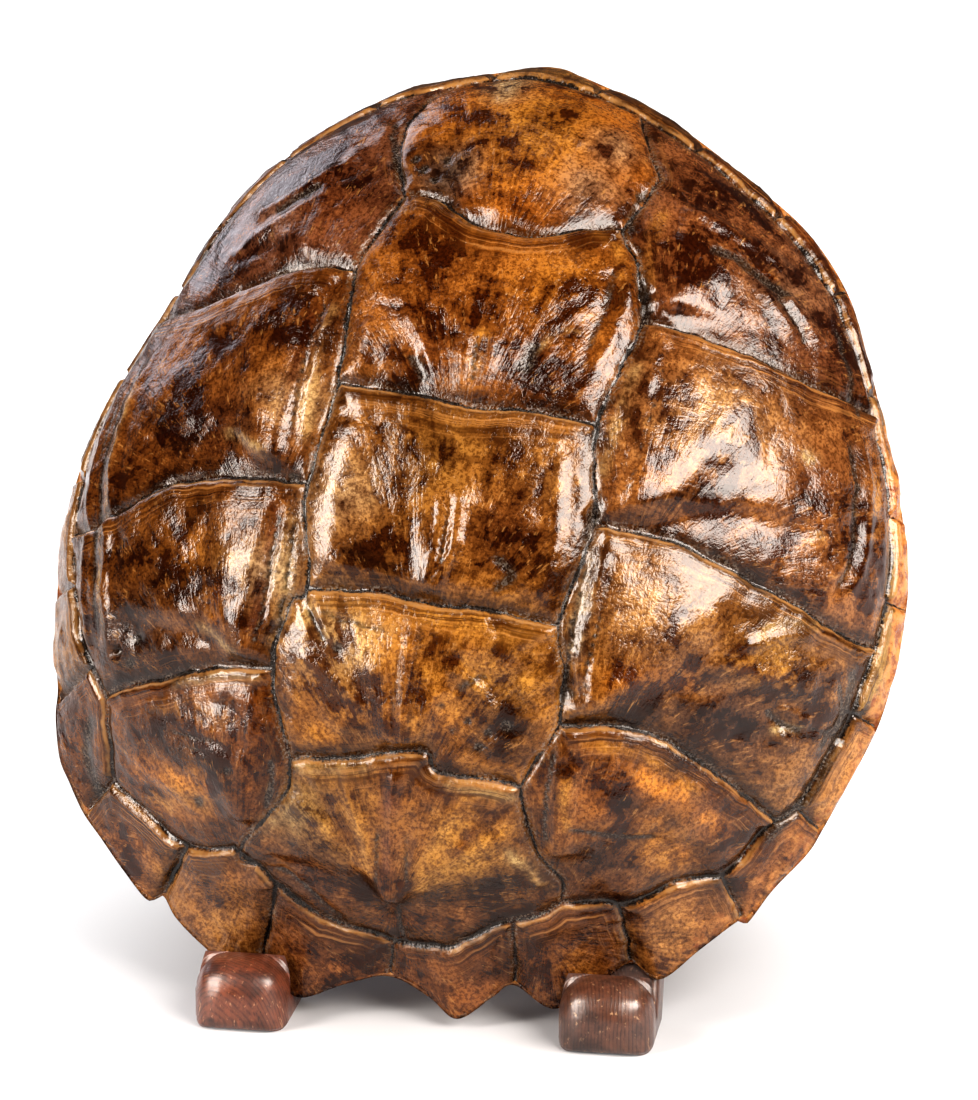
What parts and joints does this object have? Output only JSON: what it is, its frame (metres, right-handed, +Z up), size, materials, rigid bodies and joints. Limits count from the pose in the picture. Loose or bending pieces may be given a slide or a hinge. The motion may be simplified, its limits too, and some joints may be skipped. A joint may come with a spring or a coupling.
{
  "type": "snapping turtle shell",
  "caption": "Domed upper shell of a snapping turtle with a toothed tail end, leaning crown outward in a low dark wooden stand with rounded toes.",
  "frame": {"origin": "middle of the whole's footprint, on the surface that the soles of the arms and the leg stand on", "axes": "+Z up, -Y out of the toes toward the viewer, +X to the viewer's right; the shell's head end is at the top, its crown faces the viewer"},
  "size_m": [0.3048, 0.1966, 0.3164],
  "materials": {
    "horn": "brown horn scutes over cream bone, varnished, worn at the edges",
    "arm_wood": "dark red-brown stain, soft satin sheen, rubbed pale at the corners",
    "rail_wood": "dark red-brown stain, satin",
    "leg_wood": "dark red-brown stain, satin"
  },
  "bodies": {
    "root": {"carapace": "horn", "left_arm": "arm_wood", "right_arm": "arm_wood", "top_rail": "rail_wood", "bottom_rail": "rail_wood", "back_leg": "leg_wood"}
  },
  "joints": []
}
